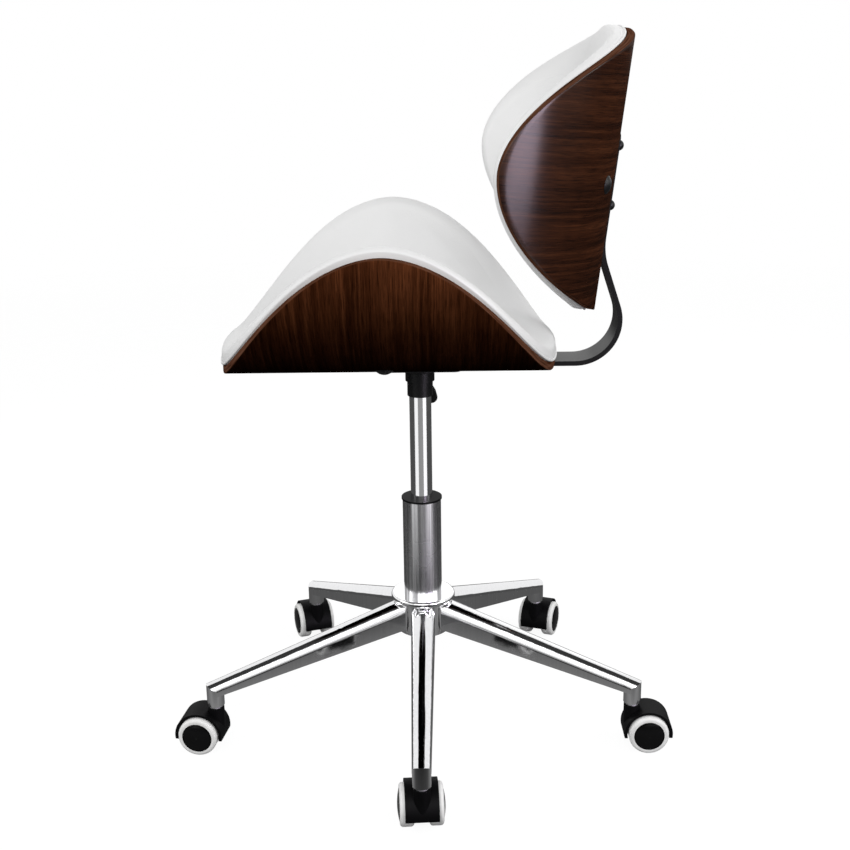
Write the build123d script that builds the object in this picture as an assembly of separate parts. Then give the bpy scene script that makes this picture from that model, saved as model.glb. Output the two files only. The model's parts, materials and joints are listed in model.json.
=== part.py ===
from build123d import *
import os
from math import cos, degrees, pi, radians, sin

# Office chair: two padded bent-ply shells on a flat steel bar, a gas lift and a five-leg caster base.
# Millimetres. +Z is up, the sitter faces -X, and the origin is on the floor under the gas lift.

# Clearances
RUN_GAP = 0.05            # radial running fit of stems, axles, pins and the gas cylinder
FACE_GAP = 0.2            # between flat faces that turn or slide past each other
BOLT_GAP = 0.2            # radial room of a bolt or a nut in its hole
SOFT_GAP = 0.3            # soft pad to its shell
THREAD_GAP = 0.05         # bolt to the bore of its nut
END_ROOM = 1.0            # room past the end of an axle, a stem or a stroke

# Casters
WHEEL_D = 51.0
WHEEL_W = 17.0
WHEEL_SPACING = 18.0      # between the inner faces of the two wheels
TYRE_T = 6.0              # radial
TYRE_EDGE_R = 4.0
CAP_BULGE = 2.5
CAP_GROOVE_D = 35.0       # fine ring round the cap disc
CAP_GROOVE_T = 0.6
AXLE_D = 8.0
AXLE_L = 42.0
TRAIL = 20.0              # stem axis to axle
HOOD_R = 31.0
HOOD_DROP = 1.0           # centre of the hood's outer arc below the axle
HOOD_W = 40.0
HOOD_WHEEL_GAP = 1.6
HOOD_SKIRT = 6.0          # how far the hood hangs below the axle
HOOD_LUG_D = 20.0         # lug round the axle
HOOD_SIDE_GAP = 0.6       # hood block to a wheel's inner face
BOSS_D = 21.0
STEM_D = 11.0
STEM_IN_HOOD = 20.0
STEM_IN_SLEEVE = 22.0
STEM_COLLAR_D = 16.0
STEM_COLLAR_H = 2.0
STEM_GROOVE_T = 2.0
STEM_GROOVE_DEPTH = 0.8
STEM_TIP_CHAMFER = 1.5
CASTER_TURNS = (94.0, 0.0, 70.0, 110.0, 172.0)   # which way each caster happens to trail

# Star base
LEG_COUNT = len(CASTER_TURNS)
LEG_START_ANGLE = -90.0
LEG_REACH = 282.5         # gas lift axis to a caster stem
LEG_ROOT_R = 29.0
LEG_ROOT_W = 31.5
LEG_ROOT_H = 39.0
LEG_END_H = 17.0
LEG_RISE = 82.0           # from the leg's end up to its root, along the top
LEG_WALL = 2.5
CASTER_H = 62.5           # floor to the socket's lower face
SOCKET_D = 22.5
SOCKET_L = 29.0
SLEEVE_D = 14.0
SLEEVE_L = 24.0
SLEEVE_FLANGE_D = 18.0
SLEEVE_FLANGE_T = 1.2
HUB_D = 67.0
HUB_H = 52.0
HUB_LIP = 7.0             # hub top above the root of the legs
HUB_RIM_D = 84.0
HUB_RIM_H = 8.0
HUB_RIM_EDGE_R = 3.0

# Gas lift
TUBE_D = 50.0
TUBE_WALL = 2.0
TUBE_L = 188.0
TUBE_TAPER = 0.8          # loss of radius inside the hub
TUBE_BELOW_HUB = 5.0
TUBE_FLOOR_T = 4.0
CLIP_ROOM = 4.0           # recess under the tube's floor
CLIP_D = 20.0
CLIP_T = 1.6
ROD_D = 10.0
ROD_BELOW_CLIP = 1.0
CLIP_GROOVE = 1.2         # depth of the clip's groove in the rod
BEARING_D = 32.0
BEARING_H = 5.0
SHOULDER_D = 22.0
SHOULDER_H = 4.0
BUFFER_D = 24.0
BUFFER_H = 6.0
PISTON_H = 12.0
PISTON_ABOVE_BUSH = 6.0
STROKE = 100.0
BUSH_L = 72.0
BUSH_FLANGE_D = 52.5
BUSH_FLANGE_T = 2.5
CYL_D = 28.0
CYL_WALL = 1.5
CYL_L = 220.0
CYL_CAP_T = 10.0
CYL_TAPER = 0.4           # loss of radius inside the collar
CYL_TAPER_L = 17.0
CYL_BUSH_L = 18.0
CYL_BUSH_INSET = 2.0
VALVE_PIN_D = 8.0
VALVE_HEAD_D = 12.0
VALVE_HEAD_H = 4.0
VALVE_DOME_H = 1.2

# Seat plate and lever
LOWER_COLLAR_D = 32.5
LOWER_COLLAR_H = 19.5
UPPER_COLLAR_D = 37.0
UPPER_COLLAR_H = 12.0
DISH_D = 61.0
DISH_H = 5.5
DISH_EDGE_H = 1.5         # upright edge above the flare
PLATE_T = 5.0
PLATE_L = 104.0
PLATE_W = 62.0
PLATE_CORNER_R = 9.0
CHAMBER_D = 25.0          # inside the collar, above the gas cylinder
LEVER_ROD_D = 7.0
LEVER_UP = 5.6            # rod axis above the lower end of the upper collar
LEVER_AZIMUTH = 86.2      # which way the lever points, from +X
LEVER_PIVOT_R = 15.5      # pivot pin to the gas lift axis
LEVER_PIN_D = 3.0
LEVER_PIN_L = 15.0
LEVER_SLOT_GAP = 0.8
LEVER_TAIL = 4.0          # rod past the gas lift axis
LEVER_BEND_AT = 42.0
LEVER_BEND_R = 22.0
LEVER_DROOP = 29.0
LEVER_LOWER_L = 176.0     # from the bend to the end of the grip
GRIP_D = 17.0
GRIP_NECK_D = 12.0
GRIP_L = 72.0
GRIP_END_R = 5.0
VALVE_LEVER_GAP = 0.3

# Shells and pads
SHELL_T = 10.0
SHELL_FLAT_W = 90.0       # flat middle of the bent sheet
SHELL_BEND_R = 178.0      # outer face
SHELL_TOP_ROOM = 60.0     # construction height above the bend
SEAT_BLANK_L = 413.0      # flat blank, along the chair
SEAT_BLANK_W = 624.0      # flat blank, around the bend
SEAT_CENTRE_X = -37.5
BACK_BLANK_L = 330.0
BACK_BLANK_W = 587.0
BACK_CENTRE_X = 231.3     # middle of the back shell's outer face
BACK_CENTRE_UP = 231.5    # above the seat shell's underside
BACK_RECLINE = 7.0
BLANK_LOW_ROUND = 1.97    # 2 is an ellipse: front of the seat, foot of the back
BLANK_HIGH_ROUND = 1.75   # more pointed: rear of the seat, top of the back
PAD_PROUD_END = 4.0       # pad past the wood at the ends of the blank
PAD_PROUD_SIDE = 5.0      # pad past the wood round the bend
SEAT_PAD_T = 40.0
BACK_PAD_T = 34.0
PAD_EDGE_T = 17.0
PAD_NOSE_T = 9.0          # at the very ends, where the pad rolls in
PAD_FLAT_SHARE = 0.6      # flat crown against the shell's flat
OUTLINE_STEPS = 12        # points along half an outline

# Bar
BAR_W = 50.0
BAR_T = 6.0
BAR_REAR_X = 268.0        # corner of the bar's centre line behind the seat
BAR_BEND_R = 54.0
BAR_KINK_DOWN = 97.0      # kink below the middle of the back shell
BAR_KINK_R = 80.0
BAR_TOP_UP = 45.0         # bar's end above the middle of the back shell
BAR_CORNER_R = 10.0

# Fasteners
BOLT_D = 6.0
BOLT_HEAD_D = 13.0
BOLT_HEAD_H = 4.0
BAR_BOLT_HEAD_H = 8.0
PAD_BOLT_HEAD_D = 21.0
PAD_BOLT_HEAD_H = 4.5
NUT_BARREL_D = 8.0
NUT_BARREL_L = 8.0
NUT_FLANGE_D = 18.0
NUT_FLANGE_T = 1.5
PLATE_BOLT_X = 42.0       # half the bolt pattern
PLATE_BOLT_Y = 15.0
BAR_BOLT_PITCH = 72.0
BAR_BOLT_DOWN = 6.0       # middle of the pair below the middle of the back shell
SEAT_PAD_BOLT_S = 110.0   # from the middle of the sheet, round the bend
SEAT_PAD_BOLT_AT = -2.5   # along the sheet, from its middle
BACK_PAD_BOLT_S = 118.0
BACK_PAD_BOLT_AT = -6.0

# Heights, from the floor up
AXLE_Z = WHEEL_D / 2
LEG_END_Z = CASTER_H + SOCKET_L
LEG_ROOT_Z = LEG_END_Z + LEG_RISE
HUB_TOP_Z = LEG_ROOT_Z + HUB_LIP
HUB_BOTTOM_Z = HUB_TOP_Z - HUB_H
TUBE_BOTTOM_Z = HUB_BOTTOM_Z - TUBE_BELOW_HUB
TUBE_TOP_Z = TUBE_BOTTOM_Z + TUBE_L
TUBE_FLOOR_Z = TUBE_BOTTOM_Z + CLIP_ROOM
BEARING_Z = TUBE_FLOOR_Z + TUBE_FLOOR_T + FACE_GAP
SHOULDER_Z = BEARING_Z + BEARING_H
BUFFER_Z = SHOULDER_Z + SHOULDER_H
CYL_BOTTOM_Z = BUFFER_Z + BUFFER_H + END_ROOM + STROKE
CYL_TOP_Z = CYL_BOTTOM_Z + CYL_L
CYL_BUSH_Z = CYL_BOTTOM_Z + CYL_BUSH_INSET
PISTON_Z = CYL_BUSH_Z + CYL_BUSH_L + PISTON_ABOVE_BUSH
COLLAR_Z = CYL_TOP_Z - CYL_TAPER_L
UPPER_COLLAR_Z = COLLAR_Z + LOWER_COLLAR_H
DISH_Z = UPPER_COLLAR_Z + UPPER_COLLAR_H
PLATE_Z = DISH_Z + DISH_H
BAR_Z = PLATE_Z + PLATE_T
SEAT_Z = BAR_Z + BAR_T
LEVER_Z = UPPER_COLLAR_Z + LEVER_UP
VALVE_TOP_Z = LEVER_Z - LEVER_ROD_D / 2 - VALVE_LEVER_GAP

# Frames: local X runs along a shell's straight lines, local Z from its outer face towards the sitter
SEAT_FRAME = Plane((SEAT_CENTRE_X, 0, SEAT_Z), x_dir=(1, 0, 0), z_dir=(0, 0, 1))
LEAN_X = sin(radians(BACK_RECLINE))
LEAN_Z = cos(radians(BACK_RECLINE))
BACK_FRAME = Plane(
    (BACK_CENTRE_X, 0, SEAT_Z + BACK_CENTRE_UP),
    x_dir=(LEAN_X, 0, LEAN_Z),
    z_dir=(-LEAN_Z, 0, LEAN_X),
)


def disc(diameter, z0, z1):
    """Upright cylinder on the Z axis between two heights."""
    base = (Align.CENTER, Align.CENTER, Align.MIN)
    return Pos(0, 0, z0) * Cylinder(diameter / 2, z1 - z0, align=base)


def ring(outer, inner, z0, z1):
    """Upright ring on the Z axis."""
    return disc(outer, z0, z1) - disc(inner, z0, z1)


def lathe(*points):
    """Solid turned about the Z axis from an outline of radius and height."""
    return revolve(Plane.XZ * make_face(Polyline(*points, close=True)), Axis.Z)


def dome(diameter, height, z0):
    """Spherical cap that stands on a height."""
    radius = (diameter ** 2 / 4 + height ** 2) / (2 * height)
    ball = Pos(0, 0, z0 + height - radius) * Sphere(radius)
    return ball & disc(diameter, z0, z0 + height)


# Casters, about the stem axis with the wheels trailing along +X
def across(z_shape):
    """Turns a shape about Z into one about the axle."""
    return Pos(TRAIL, 0, AXLE_Z) * Rot(90, 0, 0) * z_shape


def caster_hood():
    outer = Pos(TRAIL, AXLE_Z - HOOD_DROP) * Circle(HOOD_R)
    skirt = Pos(TRAIL, AXLE_Z - HOOD_SKIRT) * Rectangle(
        2 * HOOD_R, 2 * HOOD_R, align=(Align.CENTER, Align.MIN)
    )
    crown = outer & skirt
    wheel_room = Pos(TRAIL, AXLE_Z) * Circle(WHEEL_D / 2 + HOOD_WHEEL_GAP)
    lug = Pos(TRAIL, AXLE_Z) * Circle(HOOD_LUG_D / 2)
    block_w = WHEEL_SPACING - 2 * HOOD_SIDE_GAP
    fender = extrude(Plane.XZ * (crown - wheel_room), HOOD_W / 2, both=True)
    block = extrude(Plane.XZ * (crown + lug), block_w / 2, both=True)
    top = CASTER_H - SLEEVE_FLANGE_T - FACE_GAP - STEM_COLLAR_H
    boss = disc(BOSS_D, AXLE_Z, top) - across(disc(WHEEL_D + 2 * HOOD_WHEEL_GAP, -BOSS_D, BOSS_D))
    hood = fender + block + boss
    stem_hole = disc(STEM_D, top - STEM_IN_HOOD, top)
    axle_hole = across(disc(AXLE_D, -AXLE_L / 2, AXLE_L / 2))
    return hood - stem_hole - axle_hole


def caster_stem():
    collar_top = CASTER_H - SLEEVE_FLANGE_T - FACE_GAP
    collar_z = collar_top - STEM_COLLAR_H
    tip = collar_top + STEM_IN_SLEEVE
    radius = STEM_D / 2
    groove_z = (collar_top + tip) / 2
    return lathe(
        (0, collar_z - STEM_IN_HOOD),
        (radius, collar_z - STEM_IN_HOOD),
        (radius, collar_z),
        (STEM_COLLAR_D / 2, collar_z),
        (STEM_COLLAR_D / 2, collar_top),
        (radius, collar_top),
        (radius, groove_z),
        (radius - STEM_GROOVE_DEPTH, groove_z),
        (radius - STEM_GROOVE_DEPTH, groove_z + STEM_GROOVE_T),
        (radius, groove_z + STEM_GROOVE_T),
        (radius, tip - STEM_TIP_CHAMFER),
        (radius - STEM_TIP_CHAMFER, tip),
        (0, tip),
    )


def caster_axle():
    return across(disc(AXLE_D, -AXLE_L / 2, AXLE_L / 2))


def wheel_core(side):
    """Wheel with its cap disc, on the +Y or -Y side of the hood."""
    inner = WHEEL_SPACING / 2
    rim_r = WHEEL_D / 2 - TYRE_T
    core = disc(2 * rim_r, inner, inner + WHEEL_W) + dome(2 * rim_r, CAP_BULGE, inner + WHEEL_W)
    groove_d = CAP_GROOVE_D + 2 * CAP_GROOVE_T
    core -= ring(groove_d, CAP_GROOVE_D, inner + WHEEL_W - CAP_GROOVE_T, inner + WHEEL_W + CAP_BULGE)
    core -= disc(AXLE_D + 2 * RUN_GAP, inner, AXLE_L / 2 + END_ROOM)
    return across(Rot(0 if side < 0 else 180, 0, 0) * core)


def wheel_tyre(side):
    inner = WHEEL_SPACING / 2
    tyre = ring(WHEEL_D, WHEEL_D - 2 * TYRE_T, inner, inner + WHEEL_W)
    outer_rim = tyre.edges().filter_by(GeomType.CIRCLE).group_by(SortBy.RADIUS)[-1]
    tyre = fillet(outer_rim, TYRE_EDGE_R)
    return across(Rot(0 if side < 0 else 180, 0, 0) * tyre)


# Star base
def leg_angle(k):
    return LEG_START_ANGLE + 360 / LEG_COUNT * k


def arch(width, bottom, top):
    """Upright sides under a round top, across a leg."""
    half = width / 2
    shoulder = top - half
    sides = Polyline((-half, shoulder), (-half, bottom), (half, bottom), (half, shoulder))
    crown = [CenterArc((0, shoulder), half, start, 90) for start in (0, 90)]
    return make_face([*sides.edges(), *crown])


def leg_solid(inset, floor):
    """Tapered leg along +X, drawn in by an inset, down to its edges or to a given floor."""
    tip_r = LEG_REACH + SOCKET_D / 2
    ends = (
        (LEG_ROOT_R, LEG_ROOT_W, LEG_ROOT_Z, LEG_ROOT_H),
        (tip_r, SOCKET_D, LEG_END_Z, LEG_END_H),
    )
    faces = []
    for radius, width, top, height in ends:
        bottom = top - height if floor is None else floor
        faces.append(Plane.YZ.offset(radius) * arch(width - 2 * inset, bottom, top - inset))
    return loft(faces, ruled=True)


def star_base():
    socket_r = SOCKET_D / 2
    straight = Pos(LEG_ROOT_R, 0) * Rectangle(
        LEG_REACH - LEG_ROOT_R, 2 * LEG_ROOT_W, align=(Align.MIN, Align.CENTER)
    )
    plan = extrude(straight + Pos(LEG_REACH, 0) * Circle(socket_r), HUB_TOP_Z)
    post = Pos(LEG_REACH, 0) * disc(SOCKET_D, CASTER_H, HUB_TOP_Z)
    socket = leg_solid(0, CASTER_H) & post
    hollow_end = Pos(LEG_REACH - socket_r, 0) * Box(
        LEG_REACH, 2 * LEG_ROOT_W, HUB_TOP_Z, align=(Align.MAX, Align.CENTER, Align.MIN)
    )
    hollow = leg_solid(LEG_WALL, 0) & hollow_end
    bore = Pos(LEG_REACH, 0) * disc(SLEEVE_D, CASTER_H, CASTER_H + SLEEVE_L)
    leg = (leg_solid(0, None) & plan) - hollow + socket - bore

    rim_z = HUB_TOP_Z - HUB_RIM_H
    rim_r = HUB_RIM_D / 2
    hub_r = HUB_D / 2
    hub = lathe(
        (0, HUB_BOTTOM_Z),
        (hub_r, HUB_BOTTOM_Z),
        (hub_r, rim_z),
        (rim_r, rim_z),
        (rim_r, HUB_TOP_Z),
        (0, HUB_TOP_Z),
    )
    hub = fillet(hub.edges().filter_by(GeomType.CIRCLE).group_by(SortBy.RADIUS)[-1], HUB_RIM_EDGE_R)
    base = hub
    for k in range(LEG_COUNT):
        base += Rot(0, 0, leg_angle(k)) * leg
    return base - tube_outside()


def caster_sleeves():
    sleeve = ring(SLEEVE_D, STEM_D + 2 * RUN_GAP, CASTER_H, CASTER_H + SLEEVE_L)
    sleeve += ring(SLEEVE_FLANGE_D, STEM_D + 2 * RUN_GAP, CASTER_H - SLEEVE_FLANGE_T, CASTER_H)
    return [Rot(0, 0, leg_angle(k)) * Pos(LEG_REACH, 0, 0) * sleeve for k in range(LEG_COUNT)]


# Gas lift
def tube_profile(inset, z0, z1):
    """Turned solid of the tube's tapered outline, drawn in by an inset."""
    foot = TUBE_D / 2 - TUBE_TAPER - inset
    body = TUBE_D / 2 - inset
    slope = TUBE_TAPER / (HUB_TOP_Z - TUBE_BOTTOM_Z)
    low = foot + slope * (z0 - TUBE_BOTTOM_Z)
    return lathe((0, z0), (low, z0), (body, HUB_TOP_Z), (body, z1), (0, z1))


def tube_outside():
    return tube_profile(0, TUBE_BOTTOM_Z, TUBE_TOP_Z)


def column_tube():
    floor_top = TUBE_FLOOR_Z + TUBE_FLOOR_T
    tube = tube_outside() - tube_profile(TUBE_WALL, floor_top, TUBE_TOP_Z)
    tube -= disc(CLIP_D + 2 * END_ROOM, TUBE_BOTTOM_Z, TUBE_FLOOR_Z)
    return tube - disc(ROD_D + 2 * RUN_GAP, TUBE_FLOOR_Z, floor_top)


def guide_bush():
    inside = CYL_D + 2 * RUN_GAP
    bush = ring(TUBE_D - 2 * TUBE_WALL, inside, TUBE_TOP_Z - BUSH_L, TUBE_TOP_Z)
    return bush + ring(BUSH_FLANGE_D, inside, TUBE_TOP_Z, TUBE_TOP_Z + BUSH_FLANGE_T)


def piston_rod():
    radius = ROD_D / 2
    clip_top = TUBE_FLOOR_Z - FACE_GAP
    clip_bottom = clip_top - CLIP_T
    piston_r = CYL_D / 2 - CYL_WALL - FACE_GAP
    return lathe(
        (0, clip_bottom - ROD_BELOW_CLIP),
        (radius, clip_bottom - ROD_BELOW_CLIP),
        (radius, clip_bottom),
        (radius - CLIP_GROOVE, clip_bottom),
        (radius - CLIP_GROOVE, clip_top),
        (radius, clip_top),
        (radius, SHOULDER_Z),
        (SHOULDER_D / 2, SHOULDER_Z),
        (SHOULDER_D / 2, BUFFER_Z),
        (radius, BUFFER_Z),
        (radius, PISTON_Z),
        (piston_r, PISTON_Z),
        (piston_r, PISTON_Z + PISTON_H),
        (0, PISTON_Z + PISTON_H),
    )


def retaining_clip():
    """Open ring that snaps into the groove at the foot of the rod."""
    top = TUBE_FLOOR_Z - FACE_GAP
    clip = ring(CLIP_D, ROD_D - 2 * CLIP_GROOVE, top - CLIP_T, top)
    mouth = Pos(CLIP_D / 2, 0, top - CLIP_T) * Box(
        CLIP_D, ROD_D - 2 * CLIP_GROOVE, CLIP_T, align=(Align.CENTER, Align.CENTER, Align.MIN)
    )
    return clip - mouth


def thrust_bearing():
    return ring(BEARING_D, ROD_D, BEARING_Z, BEARING_Z + BEARING_H)


def buffer():
    return ring(BUFFER_D, ROD_D, BUFFER_Z, BUFFER_Z + BUFFER_H)


def cylinder_outside():
    radius = CYL_D / 2
    return lathe(
        (0, CYL_BOTTOM_Z),
        (radius, CYL_BOTTOM_Z),
        (radius, COLLAR_Z),
        (radius - CYL_TAPER, CYL_TOP_Z),
        (0, CYL_TOP_Z),
    )


def gas_cylinder():
    inside = disc(CYL_D - 2 * CYL_WALL, CYL_BOTTOM_Z, CYL_TOP_Z - CYL_CAP_T)
    pin_hole = disc(VALVE_PIN_D + 2 * RUN_GAP, CYL_TOP_Z - CYL_CAP_T, CYL_TOP_Z)
    return cylinder_outside() - inside - pin_hole


def cylinder_bush():
    return ring(CYL_D - 2 * CYL_WALL, ROD_D + 2 * RUN_GAP, CYL_BUSH_Z, CYL_BUSH_Z + CYL_BUSH_L)


def valve_pin():
    head_top = CYL_TOP_Z - CYL_CAP_T - FACE_GAP
    shank_top = VALVE_TOP_Z - VALVE_DOME_H
    pin = disc(VALVE_HEAD_D, head_top - VALVE_HEAD_H, head_top) + disc(VALVE_PIN_D, head_top, shank_top)
    return pin + dome(VALVE_PIN_D, VALVE_DOME_H, shank_top)


# Seat plate and lever
def plate_bolt_places():
    return [(x, y) for x in (-PLATE_BOLT_X, PLATE_BOLT_X) for y in (-PLATE_BOLT_Y, PLATE_BOLT_Y)]


def seat_plate():
    flange = extrude(Pos(0, 0, PLATE_Z) * RectangleRounded(PLATE_L, PLATE_W, PLATE_CORNER_R), PLATE_T)
    dish = lathe(
        (0, DISH_Z),
        (UPPER_COLLAR_D / 2, DISH_Z),
        (DISH_D / 2, PLATE_Z - DISH_EDGE_H),
        (DISH_D / 2, PLATE_Z),
        (0, PLATE_Z),
    )
    plate = flange + dish
    plate += disc(UPPER_COLLAR_D, UPPER_COLLAR_Z, DISH_Z)
    plate += disc(LOWER_COLLAR_D, COLLAR_Z, UPPER_COLLAR_Z)
    plate -= cylinder_outside()
    plate -= disc(CHAMBER_D, CYL_TOP_Z, BAR_Z)
    slot_w = LEVER_ROD_D + LEVER_SLOT_GAP
    slot_h = LEVER_ROD_D + 2 * LEVER_SLOT_GAP
    outwards = (Align.MIN, Align.CENTER, Align.CENTER)
    slot = Pos(0, 0, LEVER_Z) * Box(UPPER_COLLAR_D, slot_w, slot_h, align=outwards)
    plate -= Rot(0, 0, LEVER_AZIMUTH) * slot
    plate -= lever_pin()
    for x, y in plate_bolt_places():
        plate -= Pos(x, y, 0) * disc(BOLT_D + 2 * BOLT_GAP, PLATE_Z, BAR_Z)
    return plate


def pin_at_pivot(diameter, length):
    pin = Rot(90, 0, 0) * Cylinder(diameter / 2, length)
    return Rot(0, 0, LEVER_AZIMUTH) * Pos(LEVER_PIVOT_R, 0, LEVER_Z) * pin


def lever_pin():
    return pin_at_pivot(LEVER_PIN_D, LEVER_PIN_L)


def lever_end():
    """Radius and height of the end of the drooping part of the lever."""
    droop = radians(LEVER_DROOP)
    return LEVER_BEND_AT + LEVER_LOWER_L * cos(droop), LEVER_Z - LEVER_LOWER_L * sin(droop)


def grip_frame(back_by):
    """Frame on the drooping part, some way back from its end, with Z towards the end."""
    droop = radians(LEVER_DROOP)
    reach, height = lever_end()
    start = (reach - back_by * cos(droop), 0, height + back_by * sin(droop))
    return Rot(0, 0, LEVER_AZIMUTH) * Plane(start, z_dir=(cos(droop), 0, -sin(droop))).location


def lever_rod():
    reach, height = lever_end()
    path = FilletPolyline(
        (-LEVER_TAIL, 0, LEVER_Z), (LEVER_BEND_AT, 0, LEVER_Z), (reach, 0, height), radius=LEVER_BEND_R
    )
    section = Plane(path @ 0, z_dir=path % 0) * Circle(LEVER_ROD_D / 2)
    rod = Rot(0, 0, LEVER_AZIMUTH) * sweep(section, path)
    rod -= grip_frame(GRIP_END_R) * disc(2 * LEVER_ROD_D, 0, 2 * GRIP_END_R)
    return rod - pin_at_pivot(LEVER_PIN_D + 2 * RUN_GAP, 2 * LEVER_ROD_D)


def lever_grip():
    """Round grip, slimmer at its neck, closed over the end of the rod."""
    radius = GRIP_D / 2
    body = lathe(
        (0, 0),
        (GRIP_NECK_D / 2, 0),
        (radius, GRIP_L / 2),
        (radius, GRIP_L),
        (0, GRIP_L),
    )
    body = fillet(body.edges().filter_by(GeomType.CIRCLE).sort_by(Axis.Z)[-1], GRIP_END_R)
    body -= disc(LEVER_ROD_D, 0, GRIP_L - GRIP_END_R)
    return grip_frame(GRIP_L) * body


# Bent shells
def sheet_point(s, depth):
    """Half width and rise of the bent sheet, s along its outer face from the middle, depth inwards."""
    half = SHELL_FLAT_W / 2
    if s <= half:
        return s, depth
    turn = min((s - half) / SHELL_BEND_R, pi / 2)
    past = s - half - turn * SHELL_BEND_R
    radius = SHELL_BEND_R - depth
    return half + radius * sin(turn), SHELL_BEND_R - radius * cos(turn) + past


def trough(depth, length):
    """Filled trough inside the sheet at a depth from its outer face."""
    half = SHELL_FLAT_W / 2
    radius = SHELL_BEND_R - depth
    side = half + radius
    rim = SHELL_BEND_R + SHELL_TOP_ROOM
    upper = Polyline((side, SHELL_BEND_R), (side, rim), (-side, rim), (-side, SHELL_BEND_R))
    outline = [
        Line((-half, depth), (half, depth)),
        CenterArc((half, SHELL_BEND_R), radius, -90, 90),
        *upper.edges(),
        CenterArc((-half, SHELL_BEND_R), radius, 180, 90),
    ]
    return extrude(Plane.YZ * make_face(outline), length / 2, both=True)


def blank_round(along):
    return BLANK_HIGH_ROUND if along > 0 else BLANK_LOW_ROUND


def blank_reach(along, length, width):
    """How far round the bend an oval blank reaches at a place along it."""
    power = blank_round(along)
    return width / 2 * max(0.0, 1 - abs(2 * along / length) ** power) ** (1 / power)


def blank_end(length, width, side):
    """Where along the blank, on the side given by a sign, its outline has come down to the flat middle."""
    power = blank_round(side)
    return side * length / 2 * (1 - (SHELL_FLAT_W / width) ** power) ** (1 / power)


def bell(length, width):
    """Side outline of the bent blank, as a prism across the chair."""
    low = blank_end(length, width, -1)
    high = blank_end(length, width, 1)
    points = []
    for step in range(-OUTLINE_STEPS, OUTLINE_STEPS + 1):
        share = sin(pi / 2 * step / OUTLINE_STEPS)
        along = max(share, 0) * high - min(share, 0) * low
        points.append((along, sheet_point(blank_reach(along, length, width), 0)[1]))
    foot = -SHELL_T
    sides = Polyline(points[-1], (high, foot), (low, foot), points[0])
    return extrude(Plane.XZ * make_face([Spline(*points), *sides.edges()]), width, both=True)


def shell(length, width):
    sheet = trough(0, length) - trough(SHELL_T, length)
    return sheet & bell(length, width)


def pad_section(along, length, width, crown_t, edge_t):
    """Cross-section of a pad: flat and round back, rolled rims and a crowned face."""
    sunk = SHELL_T / 2
    half = SHELL_FLAT_W / 2
    turn = (blank_reach(along, length, width) - half) / SHELL_BEND_R
    back_r = SHELL_BEND_R - sunk
    face_r = SHELL_BEND_R - SHELL_T - edge_t
    rim_r = (back_r + face_r) / 2
    roll = (back_r - face_r) / 2
    crown = SHELL_T + crown_t
    crown_half = half * PAD_FLAT_SHARE
    centre = Vector(half, SHELL_BEND_R)
    out = Vector(sin(turn), -cos(turn))
    onward = Vector(cos(turn), sin(turn))
    back_end = centre + out * back_r
    tip = centre + out * rim_r + onward * roll
    face_end = centre + out * face_r
    right = [
        CenterArc(centre, back_r, -90, degrees(turn)),
        TangentArc(back_end, tip, tangent=onward),
        TangentArc(tip, face_end, tangent=-out),
        TangentArc((crown_half, crown), face_end, tangent=(1, 0)),
    ]
    left = [mirror(edge, Plane.YZ) for edge in right]
    flats = [Line((-half, sunk), (half, sunk)), Line((-crown_half, crown), (crown_half, crown))]
    return Plane.YZ.offset(along) * make_face([*right, *left, *flats])


def pad(length, width, crown_t):
    """Crowned pad that lies in a shell and stands a little proud of its edge."""
    long = length + 2 * PAD_PROUD_END
    wide = width + 2 * PAD_PROUD_SIDE
    sections = []
    for share in (-1.0, -0.965, -0.88, -0.7, -0.4, 0.0, 0.4, 0.7, 0.88, 0.965, 1.0):
        fall = share ** 2
        at_end = abs(share) == 1.0
        edge_t = PAD_NOSE_T if at_end else PAD_EDGE_T
        crown = PAD_NOSE_T if at_end else crown_t + (PAD_EDGE_T - crown_t) * fall
        end = abs(blank_end(long, wide, 1 if share > 0 else -1)) - PAD_PROUD_END / 2
        sections.append(pad_section(share * end, long, wide, crown, edge_t))
    return loft(sections) & trough(SHELL_T + SOFT_GAP, 2 * length)


# Fasteners, each on its own axis with Z from the head towards the tip
def bolt(head_d, head_h, length):
    head = Rot(180, 0, 0) * dome(head_d, head_h, 0)
    return head + disc(BOLT_D, 0, length)


def tee_nut(room):
    """Nut with its flange at the origin and its barrel back towards the bolt's head."""
    nut = disc(NUT_BARREL_D + 2 * room, -NUT_BARREL_L, 0)
    return nut + disc(NUT_FLANGE_D + 2 * room, -NUT_FLANGE_T, 0)


def bored_nut():
    return tee_nut(0) - disc(BOLT_D + 2 * THREAD_GAP, -NUT_BARREL_L, 0)


def sheet_axis(s):
    """Local frame on a shell's outer face, Z straight through the sheet, for either side of the middle."""
    y, rise = sheet_point(abs(s), 0)
    turn = max(0.0, abs(s) - SHELL_FLAT_W / 2) / SHELL_BEND_R
    side = 1 if s > 0 else -1
    return Plane((0, side * y, rise), z_dir=(0, -side * sin(turn), cos(turn))).location


def plate_bolt_axes():
    return [Pos(x, y, PLATE_Z) for x, y in plate_bolt_places()]


def bar_bolt_axes():
    """On the bar's rear face."""
    middle = -BAR_BOLT_DOWN
    return [
        BACK_FRAME.location * Pos(middle + side * BAR_BOLT_PITCH / 2, 0, -BAR_T) for side in (-1, 1)
    ]


def pad_bolt_axes(frame, along, s):
    return [frame.location * Pos(along, 0, 0) * sheet_axis(side * s) for side in (-1, 1)]


def seat_pad_axes():
    return pad_bolt_axes(SEAT_FRAME, SEAT_PAD_BOLT_AT, SEAT_PAD_BOLT_S)


def back_pad_axes():
    return pad_bolt_axes(BACK_FRAME, BACK_PAD_BOLT_AT, BACK_PAD_BOLT_S)


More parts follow.
